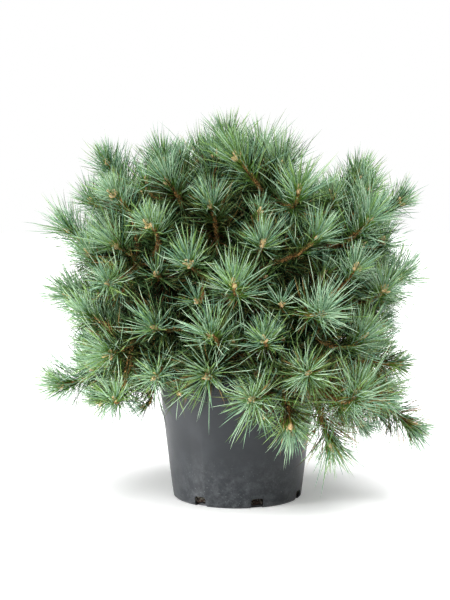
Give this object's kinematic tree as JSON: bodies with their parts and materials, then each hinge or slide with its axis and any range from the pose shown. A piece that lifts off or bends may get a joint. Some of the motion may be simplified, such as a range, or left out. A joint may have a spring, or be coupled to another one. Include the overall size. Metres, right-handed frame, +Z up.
{
  "type": "potted repens scots pine",
  "caption": "Low, spreading dwarf pine with a dense crown of long blue-green needles on rising shoots, in a tapered dark grey nursery pot.",
  "frame": {"origin": "centre of the pot's flat underside, on the surface it stands on", "axes": "+Z up along the pot's axis, -Y towards the front of the plant, +X to the right as seen from the front"},
  "size_m": [0.5994, 0.5726, 0.5775],
  "materials": {
    "pot": "satin",
    "soil": "matte",
    "bark": "matte",
    "needles": "satin"
  },
  "bodies": {
    "root": {"pot": "pot", "soil": "soil", "trunk": "bark", "bough_front_mid": "bark", "bough_front_right": "bark", "bough_right_mid": "bark", "bough_front_left": "bark", "bough_left_mid": "bark", "bough_back_right": "bark", "bough_back_mid": "bark", "bough_back_left": "bark", "bough_right_high": "bark", "bough_left_high": "bark", "bough_left_top": "bark", "bough_front_left_top": "bark", "bough_front_upper_left": "bark", "bough_front_middle": "bark", "bough_front_upper_right": "bark", "bough_front_right_top": "bark", "bough_right_top": "bark", "bough_back_top": "bark", "bough_back_right_high": "bark", "bough_back_left_high": "bark", "bough_front_hanging": "bark", "bough_front_low": "bark", "bough_left_front_low": "bark", "bough_left_low": "bark", "bough_front_right_hanging": "bark", "bough_right_low": "bark", "bough_back_right_low": "bark", "bough_back_left_low": "bark", "needles_top": "needles", "needles_front_mid": "needles", "needles_front_right": "needles", "needles_right_mid": "needles", "needles_front_left": "needles", "needles_left_mid": "needles", "needles_back_right": "needles", "needles_back_mid": "needles", "needles_back_left": "needles", "needles_right_high": "needles", "needles_left_high": "needles", "needles_left_top": "needles", "needles_front_left_top": "needles", "needles_front_upper_left": "needles", "needles_front_middle": "needles", "needles_front_upper_right": "needles", "needles_front_right_top": "needles", "needles_right_top": "needles", "needles_back_top": "needles", "needles_back_right_high": "needles", "needles_back_left_high": "needles", "needles_front_hanging": "needles", "needles_front_low": "needles", "needles_left_front_low": "needles", "needles_left_low": "needles", "needles_front_right_hanging": "needles", "needles_right_low": "needles", "needles_back_right_low": "needles", "needles_back_left_low": "needles"}
  },
  "joints": []
}
